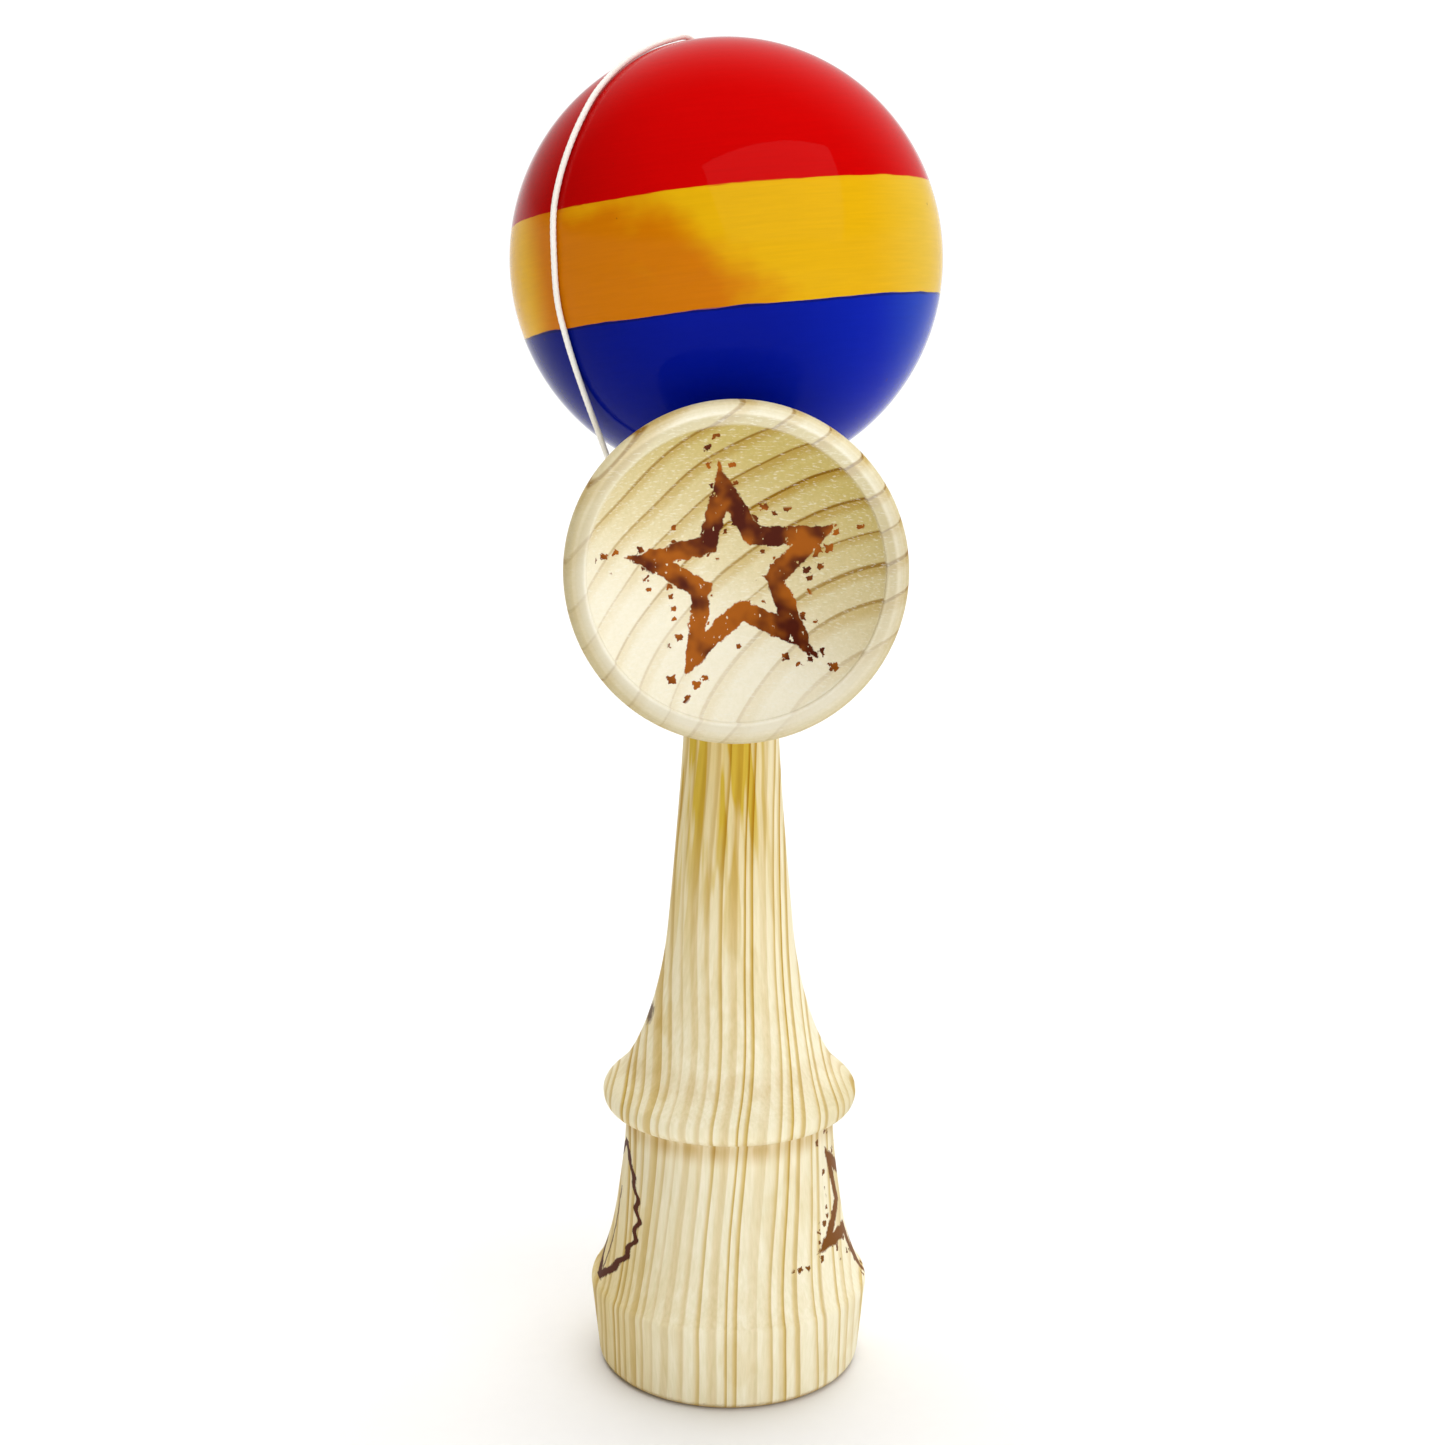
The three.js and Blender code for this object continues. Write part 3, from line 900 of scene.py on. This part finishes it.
def cup_star(look, x, z):
    """The printed star's edge, broken by the grain, with flecks flying off it."""
    cos, sin = math.cos(CUP_STAR_LEAN), math.sin(CUP_STAR_LEAN)
    u = look.add(look.times(x, cos), look.times(z, sin))
    v = look.less(look.times(z, cos), look.times(x, sin))
    v = look.add(v, CUP_STAR_DROP)
    rough = look.less(look.noise(look.vector(x, 0.0, z), 0.6, 3.0, 0.6), 0.5)
    scuffed = look.step(look.streaks((x, 4.0, z), (1.3, 1.0, 0.7), 3.0, 0.6), 0.33, 0.36)
    off = star_distance(look, u, v, CUP_STAR_TIP, CUP_STAR_NOTCH)
    edge = look.add(off, look.times(rough, 1.6))
    star = look.times(band(look, edge, -1.25, 1.25, 0.2), scuffed)
    chips = look.times(speckle(look, u, v, 1.5, 0.3), band(look, off, 1.2, 1.3, 0.4))
    crumbs = look.times(speckle(look, v, u, 0.9, 0.25), band(look, off, -2.9, 0.7, 0.4))
    return look.larger(star, look.larger(chips, crumbs))


def sarado_material():
    look = Look("sarado_wood_look", 0.52)
    place = x, y, z = look.place((0, 0, CROSS_HEIGHT))
    out = look.length(x, z)

    def in_bowl(cup, end):
        """1 inside a cup's bowl. end is -1 for the front and 1 for the back."""
        sphere, _ = bowl_sphere(cup.bowl_radius, cup.bowl_depth)
        middle = end * (cup.front - cup.lip - cup.bowl_depth + sphere)
        return look.fade(look.length(x, look.less(y, middle), z), sphere + 0.2, sphere + 0.6)

    in_big, in_small = in_bowl(BIG_CUP, -1), in_bowl(SMALL_CUP, 1)

    # Rings curve round a middle far below on the right; as painted shade they are stronger towards
    # the upper right, and they show least at the lower left.
    wander = look.times(look.streaks(place, (0.045, 0.02, 0.045), 1.2), 4.0)
    far = look.length(look.less(x, PITH[0]), look.less(z, PITH[1]))
    far = look.add(look.less(far, look.times(y, 0.24)), wander)
    late, edge = growth(look, far, CROSS_RING_SPACING, 0.5, 0.84, 2.4, 0.55)
    shade_slant = look.add(look.times(x, 0.016), look.times(z, 0.036))
    ring_and_shade_strength = look.clamped(look.add(0.85, look.times(shade_slant, 0.9)), 0.45, 1.2)
    late, edge = look.times(late, ring_and_shade_strength, 0.7), look.times(edge, ring_and_shade_strength)
    fibre, fine = fibres(look, (x, z, y), 0.12)
    colour = wood(look, late, edge, fibre, 0.03, 1.4)

    # Painted shade in the bowls at the upper right, and painted light in the big bowl at the lower
    # left.
    painted_bowl_shade = look.clamped(look.add(0.42, shade_slant), 0.0, 1.0)
    painted_bowl_shade = look.times(painted_bowl_shade, look.add(in_big, look.times(in_small, 0.9)))
    colour = look.tint(painted_bowl_shade, colour, BOWL_SHADE)
    painted_bowl_light = look.clamped(look.times(shade_slant, -1.2), 0.0, 0.45)
    colour = look.mix(look.times(painted_bowl_light, in_big, look.rest(late)), colour, CREAM)
    pores = look.step(look.streaks(place, (1.1, 1.5, 4.5), 2.0, 0.6), 0.54, 0.7)
    colour = look.mix(look.times(pores, 0.4), colour, CREAM)

    # Wear on the big cup's lip and in the rings left by turning; painted shade on its outer edge
    # and on the left of its lip.
    lip = look.times(band(look, out, 20.3, 1.3, 0.5), look.below(y, -34.0))
    colour = look.mix(look.times(lip, 0.35), colour, CREAM)
    turned = look.step(look.streaks((out, y, 1.0), (2.2, 2.2, 1.0), 2.0, 0.6), 0.42, 0.62)
    turned = look.times(turned, look.rest(in_big), 0.2)
    # Painted shade on the big cup's outer edge.
    painted_edge_shade = look.times(look.step(out, 20.4, 21.8), look.below(y, -26.0), 0.75)
    # Painted shade on the left of the lip.
    painted_left_lip_shade = look.times(look.step(out, 19.2, 20.4), look.step(look.times(x, -1), 5.0, 17.0))
    painted_left_lip_shade = look.times(painted_left_lip_shade, look.below(y, -33.5), 0.6)
    colour = look.tint(look.add(painted_edge_shade, turned, painted_left_lip_shade), colour, SHADE_AND_TURNING_TINT)
    # Darker along the inner edge of the big cup's lip, less towards the top.
    rim = look.times(look.step(out, 18.9, 19.6), look.fade(z, 4.0, 17.0), 0.8)
    rim = look.times(rim, look.below(y, -33.0))
    colour = look.tint(rim, colour, INNER_LIP_TINT)

    star = look.times(cup_star(look, x, z), in_big, look.below(out, 18.0))
    tone = look.step(look.noise(look.vector(x, 2.0, z), 0.25), 0.35, 0.65)
    look.colour(look.mix(star, colour, look.mix(tone, DARK_INK, SCORCH)))
    look.rough(look.add(0.46, look.times(fine, 0.14)))
    relief = look.add(look.times(fine, 0.5), look.times(late, -0.2))
    look.bump(look.less(relief, look.times(star, 0.15)), 0.00008, 0.5)
    return look.material


RED = (0.54, 0.001, 0.001)
SHADED_RED = (0.36, 0.001, 0.001)
YELLOW = (0.69, 0.38, 0.004)
YELLOW_WITH_RIM_REFLECTION = (0.70, 0.52, 0.06)
ORANGE = (0.55, 0.16, 0.001)
BLUE = (0.0001, 0.006, 0.26)
SHADED_BLUE = (0.0001, 0.004, 0.15)
LIT_BLUE = (0.0003, 0.012, 0.37)
BLUE_WITH_RIM_REFLECTION = (0.01, 0.08, 0.46)
SEAM = (0.002, 0.002, 0.02)
DUST = (0.05, 0.02, 0.01)
BARE_WOOD = (0.66, 0.46, 0.22)
BAND_TOP, BAND_BOTTOM = 7.4, -7.5  # edges of the yellow band, in millimetres along the axis
BARE_BELOW = BALL_RADIUS / MM - 1.2  # distance from the centre inside which there is no lacquer


def tama_material():
    look = Look("tama_lacquer_look", 0.3)
    look.shader.inputs["Coat Weight"].default_value = 1.0
    look.shader.inputs["Coat Roughness"].default_value = 0.03
    look.shader.inputs["Coat IOR"].default_value = 1.12
    look.shader.inputs["Specular IOR Level"].default_value = 0.0
    place = x, y, h = look.place(BALL_CENTRE, BALL_TURN)
    brushed = look.streaks(place, (0.16, 0.16, 3.2), 3.0, 0.6)
    drift = look.streaks((x, y, 1.0), (0.05, 0.05, 1.0))
    uneven = look.times(look.less(brushed, 0.5), 0.5)
    level = look.add(h, uneven, look.times(look.less(drift, 0.5), 0.8))

    # Painted shade deepens the red and the blue on the left, and painted light brightens the blue
    # to the right.
    # The yellow is orange in a patch on its left, partly uneven paint and partly painted shade,
    # and painted reflection pales the yellow and the blue at the right edge.
    # Painted shade on the left side.
    lit_side = look.step(x, -27.0, -5.0)
    # Painted reflection at the right edge.
    painted_rim_reflection = look.times(look.step(x, 17.0, 28.0), 0.5)
    # The yellow is orange in a patch on the left, partly uneven paint and partly painted shade,
    # but stays yellow at the very edge.
    patch = look.streaks(place, (0.08, 0.08, 0.12), 3.0)
    reach = look.add(x, look.times(h, 1.1), look.times(look.less(patch, 0.5), 30.0))
    yellow_over_orange = look.larger(look.step(reach, -12.0, 1.5), look.fade(x, -27.5, -23.5))
    yellow = look.mix(yellow_over_orange, ORANGE, look.mix(painted_rim_reflection, YELLOW, YELLOW_WITH_RIM_REFLECTION))
    red = look.mix(lit_side, SHADED_RED, RED)
    # Painted light: the blue is brighter to the right.
    blue = look.mix(look.step(x, 2.0, 22.0), BLUE, LIT_BLUE)
    blue = look.mix(painted_rim_reflection, look.mix(lit_side, SHADED_BLUE, blue), BLUE_WITH_RIM_REFLECTION)
    colour = look.mix(look.step(level, BAND_TOP, BAND_TOP + 0.15), yellow, red)
    colour = look.mix(look.fade(level, BAND_BOTTOM - 0.15, BAND_BOTTOM), colour, blue)
    seam = band(look, level, BAND_BOTTOM - 0.22, 0.14, 0.2)
    colour = look.mix(look.times(seam, 0.55), colour, SEAM)
    strokes = look.add(0.92, look.times(brushed, 0.16))
    colour = look.tint(1.0, colour, look.vector(strokes, strokes, strokes))
    angle = look.math("ARCTAN2", y, x)
    dust = speckle(look, look.times(angle, 30), look.times(h, 0.8), 0.45, 0.0008)
    colour = look.mix(look.times(dust, 0.5), colour, DUST)
    bare = look.below(look.length(x, y, h), BARE_BELOW)
    look.colour(look.mix(bare, colour, BARE_WOOD))

    look.rough(look.add(0.26, look.times(brushed, 0.1)))
    ridges = look.times(look.step(look.size(level), 7.2, 7.8), 0.6)
    look.bump(look.add(look.times(brushed, 0.4), ridges), 0.00004, 0.12)
    return look.material


BEAD_RING_SPACING = 0.9


def bead_material():
    look = Look("bead_wood_look", 0.45)
    place = x, y, _ = look.place(BEAD_CENTRE, BALL_TURN)
    late, edge = growth(look, look.add(x, look.times(y, 0.3)), BEAD_RING_SPACING, 0.3)
    fibre, fine = fibres(look, place)
    look.colour(wood(look, late, edge, fibre, 0.3))
    look.bump(fine, 0.00004, 0.4)
    return look.material


COTTON = (0.92, 0.90, 0.84)
SOILED_COTTON = (0.84, 0.79, 0.68)
COTTON_SHEEN = 0.25


def string_material():
    look = Look("string_look", 0.8)
    place = look.vector(*look.place())
    fuzz = look.noise(place, 6.0, 3.0, 0.6)
    soil = look.noise(place, 0.15)
    colour = look.mix(look.step(soil, 0.45, 0.75), COTTON, SOILED_COTTON)
    grey = look.add(0.86, look.times(fuzz, 0.26))
    look.colour(look.tint(1.0, colour, look.vector(grey, grey, grey)))
    look.shader.inputs["Sheen Weight"].default_value = COTTON_SHEEN
    look.bump(fuzz, 0.00006, 0.6)
    return look.material


def stage_material():
    """White paper, a little greyer near the toy, as painted shade."""
    look = Look("studio_paper", 0.9)
    x, y, z = look.place()
    grain = look.noise(look.vector(x, y, z), 0.4, 3.0)
    # Painted shade: greyer near the toy, whiter farther away.
    farther = look.step(look.length(x, y), 120, 700)
    grey = look.add(0.84, look.times(farther, 0.12), look.times(grain, 0.02))
    look.colour(look.vector(grey, grey, grey))
    look.shader.inputs["Specular IOR Level"].default_value = 0.0
    return look.material


# ---- put together ----------------------------------------------------------------------------


def dress(piece, material, body, nodes):
    piece.data.materials.clear()
    piece.data.materials.append(material)
    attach(piece, body)
    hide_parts(*nodes)


white_cord = string_material()
dress(make_ken(), ken_material(), "ken", ["ken"])
dress(make_sarado(), sarado_material(), "ken", ["sarado"])
dress(make_tama(), tama_material(), "tama", ["tama"])
bead = make_bead()
dress(bead, bead_material(), "bead", ["bead"])
ken_knot = make_knot("knot_in_ken", "knot_ken")
dress(ken_knot, white_cord, "ken", ["knot_ken"])
bead_knot = make_knot("knot_under_bead", "knot_bead")
dress(bead_knot, white_cord, "bead", ["knot_bead"])

string.data.materials.append(white_cord)
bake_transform(string)
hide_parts("string_tail", "string_winding", "string_run_lower", "string_run_upper")
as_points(string_line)

# ---- floor and light -------------------------------------------------------------------------

FLOOR_HALF = 8.0
FLOOR_CELLS = 16


def make_floor():
    verts, faces = [], []
    lines = [FLOOR_HALF * (2 * i / FLOOR_CELLS - 1) for i in range(FLOOR_CELLS + 1)]
    for x in lines:
        for y in lines:
            verts.append((x, y, 0))
    for i in range(FLOOR_CELLS):
        for j in range(FLOOR_CELLS):
            low = i * (FLOOR_CELLS + 1) + j
            faces.append((low, low + FLOOR_CELLS + 1, low + FLOOR_CELLS + 2, low + 1))
    floor = add_object("studio_floor", verts, faces)
    floor.data.materials.append(stage_material())


def aim_at(place, aim):
    toward = Vector(aim) - Vector(place)
    return Matrix.Translation(place) @ toward.to_track_quat("-Z", "Y").to_matrix().to_4x4()


def soft_sun(name, place, strength, spread):
    """Broad light that lights surfaces but isn't seen in the lacquer."""
    data = bpy.data.lights.new(name, "SUN")
    data.energy = strength
    data.angle = spread
    lamp = bpy.data.objects.new(name, data)
    lamp.visible_glossy = False
    bpy.context.scene.collection.objects.link(lamp)
    lamp.matrix_world = aim_at(place, (0, 0, 0))


def soft_box(name, place, width, height, watts):
    data = bpy.data.lights.new(name, "AREA")
    data.shape = "RECTANGLE"
    data.size = width
    data.size_y = height
    data.energy = watts
    lamp = bpy.data.objects.new(name, data)
    bpy.context.scene.collection.objects.link(lamp)
    lamp.matrix_world = aim_at(place, BALL_CENTRE)


WHITE = (1.0, 1.0, 1.0)
FRONT_TINT = (1.0, 0.9, 0.76)
BRIGHT_SIDE = (0.15, 0.95, 0.1)  # direction of the room's brighter half
BRIGHT_FROM, BRIGHT_TO = 0.1, 0.85  # where it begins and is full, as parts of that direction
FRONT_STRENGTH = 0.12
BACK_STRENGTH = 0.75
HORIZON_STRENGTH = 1.06
HORIZON_TOP = (0.13, 0.24)  # heights between which the white wall fades into the room
SUN_PLACE, SUN_STRENGTH, SUN_SPREAD = (0.0, 0.45, 1.9), 2.6, math.radians(60)
KEY_PLACE, KEY_SIZE, KEY_WATTS = (0.92, -1.54, 1.42), (2.8, 2.0), 29.5


def make_world():
    """A white wall all round; above it a dim room in front and a brighter one behind."""
    world = bpy.data.worlds.new("studio")
    bpy.context.scene.world = world
    world.use_nodes = True
    tree = world.node_tree
    links = tree.links
    coordinates = tree.nodes.new("ShaderNodeTexCoord")

    def ramp(value, low, high, start, end):
        made = tree.nodes.new("ShaderNodeMapRange")
        made.interpolation_type = "SMOOTHSTEP"
        for socket, number in zip(list(made.inputs)[1:5], (low, high, start, end)):
            socket.default_value = number
        links.new(value, made.inputs[0])
        return made.outputs[0]

    def blend(kind, share, a, b):
        made = tree.nodes.new("ShaderNodeMix")
        made.data_type = kind
        first, result = (2, 0) if kind == "FLOAT" else (6, 2)
        for index, value in ((0, share), (first, a), (first + 1, b)):
            if isinstance(value, bpy.types.NodeSocket):
                links.new(value, made.inputs[index])
            else:
                made.inputs[index].default_value = value
        return made.outputs[result]

    toward = tree.nodes.new("ShaderNodeVectorMath")
    toward.operation = "DOT_PRODUCT"
    toward.inputs[1].default_value = BRIGHT_SIDE
    links.new(coordinates.outputs["Generated"], toward.inputs[0])
    apart = tree.nodes.new("ShaderNodeSeparateXYZ")
    links.new(coordinates.outputs["Generated"], apart.inputs[0])
    behind = ramp(toward.outputs["Value"], BRIGHT_FROM, BRIGHT_TO, 0.0, 1.0)
    wall = ramp(apart.outputs["Z"], *HORIZON_TOP, 1.0, 0.0)
    room = blend("FLOAT", behind, FRONT_STRENGTH, BACK_STRENGTH)
    room_tint = blend("RGBA", behind, (*FRONT_TINT, 1), (*WHITE, 1))
    background = tree.nodes["Background"]
    links.new(blend("RGBA", wall, room_tint, (*WHITE, 1)), background.inputs["Color"])
    links.new(blend("FLOAT", wall, room, HORIZON_STRENGTH), background.inputs["Strength"])


make_floor()
make_world()
soft_sun("back_light", SUN_PLACE, SUN_STRENGTH, SUN_SPREAD)
soft_box("key", KEY_PLACE, *KEY_SIZE, KEY_WATTS)
bpy.context.scene.view_settings.view_transform = "Standard"
